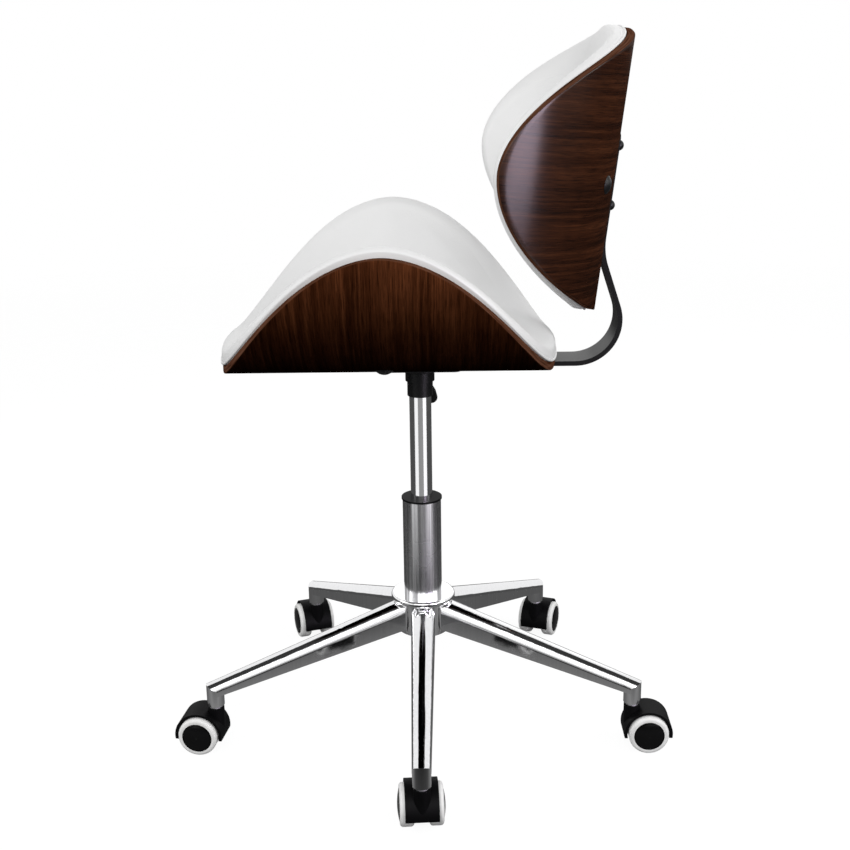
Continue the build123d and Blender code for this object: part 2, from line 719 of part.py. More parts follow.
PLATE_STACK = PLATE_T + BAR_T + SHELL_T
BAR_STACK = BAR_T + SHELL_T
PAD_NUT_DEPTH = SHELL_T + SOFT_GAP + NUT_BARREL_L


def bore(axes, diameter, z0, z1):
    return [axis * disc(diameter, z0, z1) for axis in axes]


def seat_shell():
    solid = SEAT_FRAME.location * shell(SEAT_BLANK_L, SEAT_BLANK_W)
    for axis in plate_bolt_axes():
        solid -= axis * Pos(0, 0, PLATE_STACK) * tee_nut(BOLT_GAP)
        solid -= axis * disc(BOLT_D + 2 * BOLT_GAP, 0, PLATE_STACK)
    for hole in bore(seat_pad_axes(), BOLT_D + 2 * BOLT_GAP, -SHELL_T, 2 * SHELL_T):
        solid -= hole
    return solid


def back_shell():
    solid = BACK_FRAME.location * shell(BACK_BLANK_L, BACK_BLANK_W)
    for axis in bar_bolt_axes():
        solid -= axis * Pos(0, 0, BAR_STACK) * tee_nut(BOLT_GAP)
        solid -= axis * disc(BOLT_D + 2 * BOLT_GAP, 0, BAR_STACK)
    for hole in bore(back_pad_axes(), BOLT_D + 2 * BOLT_GAP, -SHELL_T, 2 * SHELL_T):
        solid -= hole
    return solid


def nut_pockets(solid, axes):
    for axis in axes:
        solid -= axis * Pos(0, 0, PAD_NUT_DEPTH) * tee_nut(BOLT_GAP)
    return solid


def seat_pad():
    return nut_pockets(SEAT_FRAME.location * pad(SEAT_BLANK_L, SEAT_BLANK_W, SEAT_PAD_T), seat_pad_axes())


def back_pad():
    return nut_pockets(BACK_FRAME.location * pad(BACK_BLANK_L, BACK_BLANK_W, BACK_PAD_T), back_pad_axes())


def back_bar():
    """Flat bar from under the seat, round behind it and up the back shell."""
    level = BAR_Z + BAR_T / 2
    back = BACK_FRAME.location
    kink = (back * Pos(-BAR_KINK_DOWN, 0, -BAR_T / 2)).position
    top = (back * Pos(BAR_TOP_UP, 0, -BAR_T / 2)).position
    path = FilletPolyline(
        (-PLATE_L / 2, 0, level), (BAR_REAR_X, 0, level), kink, top, radius=(BAR_BEND_R, BAR_KINK_R)
    )
    section = Plane(path @ 0, x_dir=(0, 1, 0), z_dir=path % 0) * Rectangle(BAR_W, BAR_T)
    bar = sweep(section, path)
    corners = []
    for place in (path @ 0, path @ 1):
        end = bar.faces().sort_by_distance(place)[0]
        corners += end.edges().sort_by(SortBy.LENGTH)[:2]
    bar = fillet(corners, BAR_CORNER_R)
    for axis in plate_bolt_axes():
        bar -= axis * disc(BOLT_D + 2 * BOLT_GAP, PLATE_T, PLATE_T + BAR_T)
    for axis in bar_bolt_axes():
        bar -= axis * disc(BOLT_D + 2 * BOLT_GAP, 0, BAR_T)
    return bar


def plate_bolts():
    solid = bolt(BOLT_HEAD_D, BOLT_HEAD_H, PLATE_STACK)
    return [axis * solid for axis in plate_bolt_axes()]


def bar_bolts():
    solid = bolt(BOLT_HEAD_D, BAR_BOLT_HEAD_H, BAR_STACK)
    return [axis * solid for axis in bar_bolt_axes()]


def pad_bolts():
    solid = bolt(PAD_BOLT_HEAD_D, PAD_BOLT_HEAD_H, PAD_NUT_DEPTH)
    return [axis * solid for axis in seat_pad_axes() + back_pad_axes()]


def tee_nuts():
    seats = [axis * Pos(0, 0, PLATE_STACK) for axis in plate_bolt_axes()]
    seats += [axis * Pos(0, 0, BAR_STACK) for axis in bar_bolt_axes()]
    seats += [axis * Pos(0, 0, PAD_NUT_DEPTH) for axis in seat_pad_axes() + back_pad_axes()]
    return [seat * bored_nut() for seat in seats]


def save(name, shape):
    solids = shape if isinstance(shape, list) else [shape]
    export_step(Compound([solid for part in solids for solid in part.solids()]), f"parts/{name}.step")


os.makedirs("parts", exist_ok=True)
for make in (
    star_base, caster_sleeves, column_tube, guide_bush,
    piston_rod, retaining_clip, thrust_bearing, buffer,
    gas_cylinder, cylinder_bush, valve_pin,
    seat_plate, plate_bolts, lever_pin, lever_rod, lever_grip,
    seat_shell, seat_pad, back_shell, back_pad, back_bar, bar_bolts, pad_bolts, tee_nuts,
):
    save(make.__name__, make())

caster = {
    "hood": caster_hood(),
    "stem": caster_stem(),
    "axle": caster_axle(),
    "wheel_left": wheel_core(1),
    "tyre_left": wheel_tyre(1),
    "wheel_right": wheel_core(-1),
    "tyre_right": wheel_tyre(-1),
}
for k, turn in enumerate(CASTER_TURNS):
    place = Rot(0, 0, leg_angle(k)) * Pos(LEG_REACH, 0, 0) * Rot(0, 0, turn - leg_angle(k))
    for piece, solid in caster.items():
        save(f"caster_{k + 1}_{piece}", place * solid)
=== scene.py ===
import json
from collections import namedtuple
from math import cos, pi, radians, sin

import bpy
import numpy as np
from mathutils import Matrix, Vector

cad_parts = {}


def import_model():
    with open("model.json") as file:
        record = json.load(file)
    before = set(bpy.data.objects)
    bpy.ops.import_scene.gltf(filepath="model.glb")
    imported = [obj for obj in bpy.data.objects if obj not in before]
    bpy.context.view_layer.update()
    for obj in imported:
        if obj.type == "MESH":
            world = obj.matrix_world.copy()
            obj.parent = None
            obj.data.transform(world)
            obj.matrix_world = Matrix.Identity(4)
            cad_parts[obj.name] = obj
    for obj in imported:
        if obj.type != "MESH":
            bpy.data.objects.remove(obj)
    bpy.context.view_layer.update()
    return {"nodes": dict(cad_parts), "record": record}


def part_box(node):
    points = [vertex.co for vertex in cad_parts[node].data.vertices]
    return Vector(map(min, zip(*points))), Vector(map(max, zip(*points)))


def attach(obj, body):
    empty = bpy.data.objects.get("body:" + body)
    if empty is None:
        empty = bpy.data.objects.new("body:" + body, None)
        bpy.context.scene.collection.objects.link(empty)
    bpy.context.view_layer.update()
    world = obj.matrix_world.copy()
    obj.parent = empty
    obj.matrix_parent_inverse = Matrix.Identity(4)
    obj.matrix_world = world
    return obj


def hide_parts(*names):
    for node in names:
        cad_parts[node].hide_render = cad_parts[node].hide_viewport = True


# Looks of an office chair: bent walnut shells, white leather pads, black steel, chrome and casters.
# Metres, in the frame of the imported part: +Z is up and the sitter faces -X.

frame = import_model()
nodes = frame["nodes"]

# Shells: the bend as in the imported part, the outlines drawn a little nearer to the photo
SHELL_T = 0.010
SHELL_FLAT = 0.090
SHELL_R = 0.178
# Reach to the front or the foot, to the rear or the top, and round the bend, then the power of
# each half's outline, where 2 is an ellipse
Blank = namedtuple("Blank", "low high around low_round high_round")
SEAT_BLANK = Blank(0.2065, 0.2065, 0.3105, 1.84, 1.84)
BACK_BLANK = Blank(0.169, 0.161, 0.2895, 1.87, 1.80)
LEAST_SPREAD = 0.5                   # only the middle of a blank lies below it
TINY = 1e-9                          # keeps a divisor from zero
SEAT_CENTRE_X = -0.0375
BACK_CENTRE = (0.2318, 0.2355)       # X, and height above the seat's underside
BACK_RECLINE = radians(7.0)
SEAT_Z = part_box("seat_shell")[0].z
SHELL_CORNER = 0.0012
CORNER_STEPS = 3

# Pads
SOFT_GAP = 0.0003                    # between the wood and a pad's foot
SEAT_PAD_PROUD = (0.003, 0.011)      # past the wood at the ends and round the bend
BACK_PAD_PROUD = (0.003, 0.001)
SEAT_PAD_T = 0.041
BACK_PAD_T = 0.031
PAD_RIM_T = (0.015, 0.026)           # at the rim: round the bend, at the ends
PAD_ROLL = (0.011, 0.050)            # how far in from the rim the roll reaches
PAD_TUCK = 0.005                     # how far in below the roll the foot is
PAD_CROWN_IN = 0.11                  # how far in the crown is full
WELT_R = 0.0016
WELT_SINK = (0.0055, 0.0022)         # welt's middle inside the rim: round the bend, at the ends
WELT_SINK_POWER = 4                  # how late towards an end the sink changes
WELT_STEPS = (240, 12)               # along the welt, round its section
GRID = 72                            # quads across a pad or a shell
ROLL_STEPS = 8                       # rings in each half of a pad's rolled rim
COVER_FRAMES = 12
COVER = {                            # cloth settings of a pad's cover
    "quality": 4, "mass": 0.25, "tension_stiffness": 12, "compression_stiffness": 12,
    "bending_stiffness": 0.8, "use_pressure": True, "uniform_pressure_force": 4.0,
}
SWELL = 0.004                        # most that the simulated cover may move
FREE_RISE = 0.009                    # height above its foot from which the cover moves freely
EVEN_STEPS = 160                     # rounds of averaging that take the wrinkles out

# Camera, from the photo's perspective
CAMERA_AT = (0.0285, -1.6418, 0.9135)
CAMERA_YAW = radians(0.8)
CAMERA_PITCH = radians(17.04)
CAMERA_ROLL = radians(-0.8)
CAMERA_LENS = 56.9
SENSOR = 36.0

# Stage
WORLD_LIGHT = 0.38
WORLD_SHOWN = 1.0                    # as the background, and in mirrors
FLOOR_TONE = 0.09
FLOOR_GLOW = 0.93
FLOOR_FADE = (2.0, 3.6)              # distances between which the floor fades out
SECTOR_STEPS = 48
WALL_STEPS = 12
CARD_Z = 0.0015
UNDER_R = 0.62                       # card below the chair, with its (Y, tone) stops
UNDER_TONES = ((-0.46, 0.02), (-0.32, 0.06), (-0.20, 0.24), (-0.05, 0.14), (0.20, 0.10))
CARDS = {                            # azimuth, half width, near, far, tone
    "card_front": (0, 26, 0.62, 2.2, 0.32),
    "card_round": (180, 116, 0.62, 14.0, 0.08),
    "card_far": (0, 64, 2.2, 6.0, 0.03),
}
PANEL = (40, 11, 3.2, 0.1, 1.7)      # upright card: azimuth, half width, distance, foot, top
PANEL_COLOUR = (17, 15, 18.5)
STRIP = (2.2, 1.6, -1.5, 0.7)        # dark card overhead: height, half length, from Y to Y
STRIP_TONE = 0.04
LAMP_TARGET = (0, 0, 0.5)
LAMPS = {                            # place, size, power
    "overhead": ((-0.2, 0.0, 2.8), (2.4, 2.4), 3),
    "front": ((-0.4, -3.0, 2.0), (2.6, 1.6), 55),
    "left": ((-2.6, -0.6, 1.5), (1.2, 1.8), 20),
    "right": ((2.6, -0.6, 1.5), (1.2, 1.8), 36),
    "rear": ((0.6, 2.6, 2.0), (2.0, 1.4), 8),
}


# Meshes
def new_object(name, verts, faces, material):
    mesh = bpy.data.meshes.new(name)
    mesh.from_pydata([tuple(v) for v in verts], [], faces)
    mesh.polygons.foreach_set("use_smooth", [True] * len(mesh.polygons))
    mesh.materials.append(material)
    mesh.update()
    piece = bpy.data.objects.new(name, mesh)
    bpy.context.scene.collection.objects.link(piece)
    return piece


class Sheet:
    """A bent sheet: along its straight lines, around its bend, and inwards from its outer face."""

    def __init__(self, origin, along, inward):
        self.origin = np.array(origin)
        self.axes = np.array([along, (0, 1, 0), inward])

    def points(self, along, around, depth):
        reach = np.abs(around)
        turn = np.clip((reach - SHELL_FLAT / 2) / SHELL_R, 0, pi / 2)
        past = np.maximum(reach - SHELL_FLAT / 2 - turn * SHELL_R, 0)
        radius = SHELL_R - depth
        across = np.sign(around) * (np.minimum(reach, SHELL_FLAT / 2) + radius * np.sin(turn))
        rise = SHELL_R - radius * np.cos(turn) + past
        return self.origin + np.stack([along, across, rise], axis=-1) @ self.axes


SEAT = Sheet((SEAT_CENTRE_X, 0, SEAT_Z), (1, 0, 0), (0, 0, 1))
BACK = Sheet(
    (BACK_CENTRE[0], 0, SEAT_Z + BACK_CENTRE[1]),
    (sin(BACK_RECLINE), 0, cos(BACK_RECLINE)),
    (-cos(BACK_RECLINE), 0, sin(BACK_RECLINE)),
)


def disc_grid(n):
    """Square grid drawn out to a unit disc, with the loop of its border, anticlockwise."""
    u, v = np.meshgrid(np.linspace(-1, 1, n + 1), np.linspace(-1, 1, n + 1), indexing="ij")
    x = u * np.sqrt(1 - v ** 2 / 2)
    y = v * np.sqrt(1 - u ** 2 / 2)
    at = np.arange((n + 1) ** 2).reshape(n + 1, n + 1)
    border = [*at[:-1, 0], *at[-1, :-1], *at[:0:-1, -1], *at[0, :0:-1]]
    quads = np.stack([at[:-1, :-1], at[1:, :-1], at[1:, 1:], at[:-1, 1:]], axis=-1).reshape(-1, 4)
    return x.ravel(), y.ravel(), border, quads


def outline(x, y, blank, inset):
    """Points of a unit disc drawn out to a blank, less an inset all round."""
    power = np.where(x > 0, blank.high_round, blank.low_round)
    away = np.maximum(np.hypot(x, y), TINY)
    spread = np.abs(x / away) ** power + np.abs(y / away) ** power
    reach = np.maximum(spread, LEAST_SPREAD) ** (-1 / power)
    length = np.where(x > 0, blank.high, blank.low)
    return x * reach * (length - inset), y * reach * (blank.around - inset)


def sheet_piece(name, sheet, blank, inner, rim, outer, material):
    """Closed piece on a bent sheet: an inner face, the rings of its rim, and an outer face.

    Each is an inset from the outline and a depth, as one number or one for each point of the
    grid, or of its border for a ring. Each point keeps its place on the flat sheet in the
    attribute "sheet", which the materials follow.
    """
    x, y, border, quads = disc_grid(GRID)

    def layer(inset, depth, picked):
        ring = outline(x[picked], y[picked], blank, inset)
        return np.stack([*ring, np.broadcast_to(depth, ring[0].shape)], axis=-1)

    whole = np.arange(len(x))
    layers = [layer(*inner, whole)]
    layers += [layer(*ring, border) for ring in rim]
    layers.append(layer(*outer, whole))

    starts = np.cumsum([0] + [len(part) for part in layers])
    loops = [np.array(border)]
    loops += [np.arange(starts[i], starts[i + 1]) for i in range(1, len(layers) - 1)]
    loops.append(np.array(border) + starts[-2])
    faces = [tuple(q) for q in quads]
    for upper, lower in zip(loops, loops[1:]):
        around = zip(upper, np.roll(upper, -1), np.roll(lower, -1), lower)
        faces += [(a, d, c, b) for a, b, c, d in around]
    faces += [tuple(q[::-1] + starts[-2]) for q in quads]
    faces = [tuple(int(i) for i in face) for face in faces]
    flat = np.concatenate(layers)
    piece = new_object(name, sheet.points(*flat.T), faces, material)
    keep_sheet(piece, flat)
    return piece


def keep_sheet(piece, flat):
    attribute = piece.data.attributes.new("sheet", "FLOAT_VECTOR", "POINT")
    attribute.data.foreach_set("vector", flat.astype(np.float32).ravel())


def rim_tube(name, sheet, blank, inset, depth, radius, material):
    """Round welt along the rim of a pad."""
    turns = [np.linspace(0, 2 * pi, steps, endpoint=False) for steps in WELT_STEPS]
    t, p = np.meshgrid(*turns, indexing="ij")
    sink = inset[0] + (inset[1] - inset[0]) * np.cos(t) ** WELT_SINK_POWER
    place = outline(np.cos(t), np.sin(t), blank, sink + radius * np.cos(p))
    flat = np.stack([*place, depth + radius * np.sin(p)], axis=-1)
    at = np.arange(t.size).reshape(t.shape)
    ahead = np.roll(at, -1, axis=0)
    corners = [at, ahead, np.roll(ahead, -1, axis=1), np.roll(at, -1, axis=1)]
    faces = [tuple(int(i) for i in q) for q in np.stack(corners, axis=-1).reshape(-1, 4)]
    flat = flat.reshape(-1, 3)
    piece = new_object(name, sheet.points(*flat.T), faces, material)
    keep_sheet(piece, flat)
    return piece


# Materials
LACQUER_IOR = 2.5                    # keeps the sheen from flaring at grazing angles
LACQUER_ROUGH = 0.22
BACK_LACQUER = 0.09                  # weight of the coat; the seat's veneer has none
FULL = (1.0, 1.0, 1.0)
# Noise scales: along the sheet, round the bend, and inwards
WANDER_SCALE = (8, 2.5, 0)
BROAD_SCALE = (42, 1.6, 0)
STREAK_SCALE = (210, 5.0, 0)
PORE_SCALE = (1300, 40, 0)
FIGURE_SCALE = (22, 8, 0)
PLY_SCALE = (25, 25, 700)
WANDER = 0.006                       # how far a line of the grain strays
BROAD_TONES = (
    (0.28, (0.010, 0.0027, 0.0009)), (0.50, (0.037, 0.0106, 0.0037)),
    (0.72, (0.088, 0.0275, 0.0104)),
)
STREAK_TONES = (
    (0.33, (0.008, 0.0023, 0.0009)), (0.50, (0.040, 0.0112, 0.0041)),
    (0.68, (0.115, 0.0375, 0.0145)),
)
STREAK_SHARE = 0.55
FIGURE_TONES = ((0.3, (0.62, 0.62, 0.62)), (0.7, FULL))
PORE_TONES = ((0.38, (0.35, 0.33, 0.32)), (0.52, FULL))
PORE_SHARE = 0.8
# Painted shade and light on the seat's veneer: near black at the flat middle, lighter than the
# grain near the wings' rims
PAINTED_SHADING_SPAN = (0.09, 0.31)            # from the middle of the sheet, round the bend
PAINTED_SHADING_TONES = ((0.0, (0.02, 0.02, 0.02)), (0.55, (0.78, 0.78, 0.78)), (1.0, (2.5, 2.5, 2.5)))
PLY_TONES = (
    (0.35, (0.045, 0.016, 0.008)), (0.50, (0.095, 0.038, 0.021)), (0.66, (0.140, 0.062, 0.037)),
)
VENEER_T = (0.0006, 0.0002)          # depths between which the veneer gives way to the plies
VENEER_ROUGH = (0.5, 0.36)
CLOUD_SCALE = 7.0                    # leather: soft clouds, rubbed spots and pebbles
RUB_SCALE = 160
PEBBLE_SCALE = 620
PEBBLE_SOFT = 0.5
LEATHER_ROUGH = (0.44, 0.58)
LEATHER_TONES = ((0.3, (0.79, 0.79, 0.79)), (0.7, (0.84, 0.84, 0.838)))
PATCH_SCALE = 18                     # black paint: patches, and its orange peel
PEEL_SCALE = 900
PATCH_TINT = (0.75, 1.3)
PATCH_ROUGH = 0.06
POLISH_SCALE = (420, 420, 3)         # plated metal: lines along the column, and smudges
SMUDGE_SCALE = 14
SMUDGE_ROUGH = 2.2                   # against the clean metal
DUST_SCALE = 60                      # tyres: dust, and a fine grain
TYRE_GRAIN_SCALE = 700
DUST_TINT = 0.9
DUST_ROUGH = (0.62, 0.5)
# Bumps: strength, distance
PORE_BUMP = (0.25, 0.0002)
PEBBLE_BUMP = (0.22, 0.0004)
PEEL_BUMP = (0.12, 0.0003)
TYRE_BUMP = (0.1, 0.0003)


def material(name, **values):
    """Principled material with uniform values on its sockets, its node tree and its shader."""
    made = bpy.data.materials.new(name)
    made.use_nodes = True
    shader = made.node_tree.nodes["Principled BSDF"]
    for socket, value in values.items():
        shader.inputs[socket.replace("_", " ").title().replace("Ior", "IOR")].default_value = value
    return made, made.node_tree, shader


def add(tree, kind, **values):
    node = tree.nodes.new(kind)
    for name, value in values.items():
        setattr(node, name, value)
    return node


def scaled(tree, vector, scale):
    """A vector stretched by a scale for each axis."""
    stretch = add(tree, "ShaderNodeMapping")
    stretch.inputs["Scale"].default_value = scale
    tree.links.new(vector, stretch.inputs["Vector"])
    return stretch.outputs["Vector"]


def noise(tree, vector, scale, detail=4.0, rough=0.55):
    node = add(tree, "ShaderNodeTexNoise")
    node.inputs["Scale"].default_value = scale
    node.inputs["Detail"].default_value = detail
    node.inputs["Roughness"].default_value = rough
    tree.links.new(vector, node.inputs["Vector"])
    return node.outputs["Fac"]


def ramp(tree, factor, *stops):
    """Colour ramp with (place, colour) stops."""
    node = add(tree, "ShaderNodeValToRGB")
    band = node.color_ramp
    while len(band.elements) < len(stops):
        band.elements.new(0.5)
    for element, (place, colour) in zip(band.elements, stops):
        element.position = place
        element.color = (*colour, 1)
    tree.links.new(factor, node.inputs["Fac"])
    return node.outputs["Color"]


def mapped(tree, value, low, high, from_low=0.0, from_high=1.0):
    node = add(tree, "ShaderNodeMapRange")
    node.inputs["From Min"].default_value = from_low
    node.inputs["From Max"].default_value = from_high
    node.inputs["To Min"].default_value = low
    node.inputs["To Max"].default_value = high
    tree.links.new(value, node.inputs["Value"])
    return node.outputs["Result"]


def mix_colour(tree, factor, first, second, blend="MIX"):
    node = add(tree, "ShaderNodeMix", data_type="RGBA", blend_type=blend)
    if isinstance(factor, float):
        node.inputs["Factor"].default_value = factor
    else:
        tree.links.new(factor, node.inputs["Factor"])
    tree.links.new(first, node.inputs["A"])
    tree.links.new(second, node.inputs["B"])
    return node.outputs["Result"]


def bump(tree, shader, height, strength, distance):
    node = add(tree, "ShaderNodeBump")
    node.inputs["Strength"].default_value = strength
    node.inputs["Distance"].default_value = distance
    tree.links.new(height, node.inputs["Height"])
    tree.links.new(node.outputs["Normal"], shader.inputs["Normal"])


def sheet_place(tree):
    return add(tree, "ShaderNodeAttribute", attribute_name="sheet").outputs["Vector"]


def object_place(tree):
    return add(tree, "ShaderNodeTexCoord").outputs["Object"]


def walnut(name, lacquer, with_painted_shading):
    """Quarter-cut veneer whose grain runs round the bend, with brown edges of thin plies."""
    made, tree, shader = material(
        name, coat_roughness=LACQUER_ROUGH, coat_ior=LACQUER_IOR, specular_ior_level=0.0,
    )
    place = sheet_place(tree)
    wander = noise(tree, scaled(tree, place, WANDER_SCALE), 1.0, 2.0)
    drift = add(tree, "ShaderNodeCombineXYZ")
    tree.links.new(mapped(tree, wander, -WANDER, WANDER), drift.inputs["X"])
    shifted = add(tree, "ShaderNodeVectorMath", operation="ADD")
    tree.links.new(place, shifted.inputs[0])
    tree.links.new(drift.outputs["Vector"], shifted.inputs[1])
    place_in = shifted.outputs["Vector"]
    broad = noise(tree, scaled(tree, place_in, BROAD_SCALE), 1.0, 3.0)
    streaks = noise(tree, scaled(tree, place_in, STREAK_SCALE), 1.0, 6.0, 0.65)
    pores = noise(tree, scaled(tree, place_in, PORE_SCALE), 1.0, 2.0)
    tone = ramp(tree, broad, *BROAD_TONES)
    lines = ramp(tree, streaks, *STREAK_TONES)
    veneer = mix_colour(tree, STREAK_SHARE, tone, lines)
    patches = noise(tree, scaled(tree, place_in, FIGURE_SCALE), 1.0, 3.0)
    veneer = mix_colour(tree, 1.0, veneer, ramp(tree, patches, *FIGURE_TONES), "MULTIPLY")
    veneer = mix_colour(tree, PORE_SHARE, veneer, ramp(tree, pores, *PORE_TONES), "MULTIPLY")
    # the seat's veneer gets painted shade towards the flat middle and painted light near the rims
    if with_painted_shading:
        veneer = mix_colour(tree, 1.0, veneer, painted_shading(tree, place), "MULTIPLY")
    face, plies = ply_edge(tree, place, place_in)
    colour = mix_colour(tree, face, plies, veneer)
    tree.links.new(colour, shader.inputs["Base Color"])
    tree.links.new(mapped(tree, face, 0, lacquer), shader.inputs["Coat Weight"])
    tree.links.new(mapped(tree, streaks, *VENEER_ROUGH), shader.inputs["Roughness"])
    bump(tree, shader, pores, *PORE_BUMP)
    return made


def painted_shading(tree, place):
    """Painted shade and light: darkens the veneer from the wings' rims down to the flat middle of
    the sheet, and lightens it near the rims.
    """
    split = add(tree, "ShaderNodeSeparateXYZ")
    tree.links.new(place, split.inputs["Vector"])
    off = add(tree, "ShaderNodeMath", operation="ABSOLUTE")
    tree.links.new(split.outputs["Y"], off.inputs[0])
    up = mapped(tree, off.outputs["Value"], 0, 1, *PAINTED_SHADING_SPAN)
    return ramp(tree, up, *PAINTED_SHADING_TONES)


def ply_edge(tree, place, place_in):
    """Where the two veneered faces are, and the colour of the plies between them."""
    split = add(tree, "ShaderNodeSeparateXYZ")
    tree.links.new(place, split.inputs["Vector"])
    middle = add(tree, "ShaderNodeMath", operation="SUBTRACT")
    tree.links.new(split.outputs["Z"], middle.inputs[0])
    middle.inputs[1].default_value = SHELL_T / 2
    off = add(tree, "ShaderNodeMath", operation="ABSOLUTE")
    tree.links.new(middle.outputs["Value"], off.inputs[0])
    face = mapped(tree, off.outputs["Value"], 0, 1, *(SHELL_T / 2 - t for t in VENEER_T))
    plies = noise(tree, scaled(tree, place_in, PLY_SCALE), 1.0, 2.0)
    return face, ramp(tree, plies, *PLY_TONES)


def leather(name):
    """White coated leather with a fine pebbled grain."""
    made, tree, shader = material(
        name, ior=1.45, coat_weight=0.06, coat_roughness=0.4, sheen_weight=0.08,
    )
    place = object_place(tree)
    cells = add(tree, "ShaderNodeTexVoronoi", feature="SMOOTH_F1")
    cells.inputs["Scale"].default_value = PEBBLE_SCALE
    cells.inputs["Smoothness"].default_value = PEBBLE_SOFT
    tree.links.new(place, cells.inputs["Vector"])
    soft = noise(tree, place, CLOUD_SCALE, 3.0)
    tree.links.new(ramp(tree, soft, *LEATHER_TONES), shader.inputs["Base Color"])
    rough = mapped(tree, noise(tree, place, RUB_SCALE, 2.0), *LEATHER_ROUGH)
    tree.links.new(rough, shader.inputs["Roughness"])
    bump(tree, shader, cells.outputs["Distance"], *PEBBLE_BUMP)
    return made


def black_paint(name, tint, rough, shine):
    """Powder coat or moulded plastic: near black with a fine orange peel."""
    made, tree, shader = material(name, ior=1.48, specular_ior_level=shine)
    place = object_place(tree)
    fine = noise(tree, place, PEEL_SCALE, 2.0)
    patch = noise(tree, place, PATCH_SCALE, 3.0)
    darker, lighter = (tuple(share * c for c in tint) for share in PATCH_TINT)
    tree.links.new(ramp(tree, patch, (0.3, darker), (0.7, lighter)), shader.inputs["Base Color"])
    patchy = mapped(tree, patch, rough + PATCH_ROUGH, rough - PATCH_ROUGH)
    tree.links.new(patchy, shader.inputs["Roughness"])
    bump(tree, shader, fine, *PEEL_BUMP)
    return made


def polished(name, tint, rough, streak):
    """Plated metal, with faint streaks along its length from polishing."""
    made, tree, shader = material(name, metallic=1.0)
    place = object_place(tree)
    lines = noise(tree, scaled(tree, place, POLISH_SCALE), 1.0, 3.0)
    smudge = noise(tree, place, SMUDGE_SCALE, 3.0)
    darker = tuple((1 - streak) * c for c in tint)
    tree.links.new(ramp(tree, lines, (0.35, darker), (0.65, tint)), shader.inputs["Base Color"])
    tree.links.new(mapped(tree, smudge, rough, SMUDGE_ROUGH * rough), shader.inputs["Roughness"])
    return made


def rubber(name, tint):
    """Matt tyre, a little dustier in patches."""
    made, tree, shader = material(name, ior=1.45, specular_ior_level=0.3)
    place = object_place(tree)
    dust = noise(tree, place, DUST_SCALE, 4.0)
    darker = tuple(DUST_TINT * c for c in tint)
    tree.links.new(ramp(tree, dust, (0.35, darker), (0.6, tint)), shader.inputs["Base Color"])
    tree.links.new(mapped(tree, dust, *DUST_ROUGH), shader.inputs["Roughness"])
    bump(tree, shader, noise(tree, place, TYRE_GRAIN_SCALE, 2.0), *TYRE_BUMP)
    return made


WALNUT = walnut("walnut", BACK_LACQUER, False)
# the seat's copy of the walnut: no lacquer, and painted shade and light round the bend
SEAT_WALNUT = walnut("seat_walnut", 0.0, True)
LEATHER = leather("white_leather")
BLACK_STEEL = black_paint("black_steel", (0.007, 0.007, 0.0075), 0.36, 0.14)
BLACK_PLASTIC = black_paint("black_plastic", (0.003, 0.003, 0.0033), 0.48, 0.05)
GLOSS_BLACK = black_paint("gloss_black", (0.003, 0.003, 0.0033), 0.16, 0.22)
CHROME = polished("chrome", (0.86, 0.86, 0.87), 0.045, 0.06)
SATIN_CHROME = polished("satin_chrome", (0.62, 0.62, 0.63), 0.16, 0.45)
STEEL = polished("steel", (0.56, 0.56, 0.57), 0.28, 0.2)
TYRE = rubber("white_tyre", (0.93, 0.93, 0.92))
RUBBER = rubber("black_rubber", (0.015, 0.015, 0.016))

BY_SLOT = {
    "chrome": CHROME, "steel": STEEL, "black_steel": BLACK_STEEL, "black_plastic": BLACK_PLASTIC,
    "gloss_black": GLOSS_BLACK, "white_tyre": TYRE, "black_rubber": RUBBER,
    "walnut_ply": WALNUT, "white_leather": LEATHER,
}
for part in frame["record"]["subparts"]:
    mesh = nodes[part["node"]].data
    mesh.materials.clear()
    mesh.materials.append(BY_SLOT[part["material_slot"]])
nodes["column_tube"].data.materials[0] = SATIN_CHROME


# Shells
def shell(name, sheet, blank, node, veneer):
    """Bent ply with rounded corners along its edge."""
    turns = [pi / 2 * i / CORNER_STEPS for i in range(CORNER_STEPS + 1)]
    inner = [(SHELL_CORNER * (1 - sin(a)), SHELL_T - SHELL_CORNER * (1 - cos(a))) for a in turns]
    outer = [(inset, SHELL_T - depth) for inset, depth in reversed(inner)]
    rim = [*inner[1:], *outer[:-1]]
    piece = sheet_piece(name, sheet, blank, inner[0], rim, outer[-1], veneer)
    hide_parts(node)
    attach(piece, "seat")


# Pads
def towards_end(sizes, end):
    """Size between the one round the bend and the one at the ends; end is -1 or 1 at an end."""
    return sizes[0] + (sizes[1] - sizes[0]) * end ** 2


def swell(inward):
    """Share of the crown's rise at a distance in from the rim."""
    return np.sin(pi / 2 * np.clip(inward / PAD_CROWN_IN, 0, 1))


def evened(mesh, move):
    """Each point's move averaged with its neighbours', so that the cover stays taut."""
    ends = np.empty(2 * len(mesh.edges), dtype=np.int32)
    mesh.edges.foreach_get("vertices", ends)
    first, second = ends[0::2], ends[1::2]
    count = np.bincount(ends, minlength=len(move))[:, None]
    for _ in range(EVEN_STEPS):
        total = np.zeros_like(move)
        np.add.at(total, first, move[second])
        np.add.at(total, second, move[first])
        move = (move + total / count) / 2
    return move


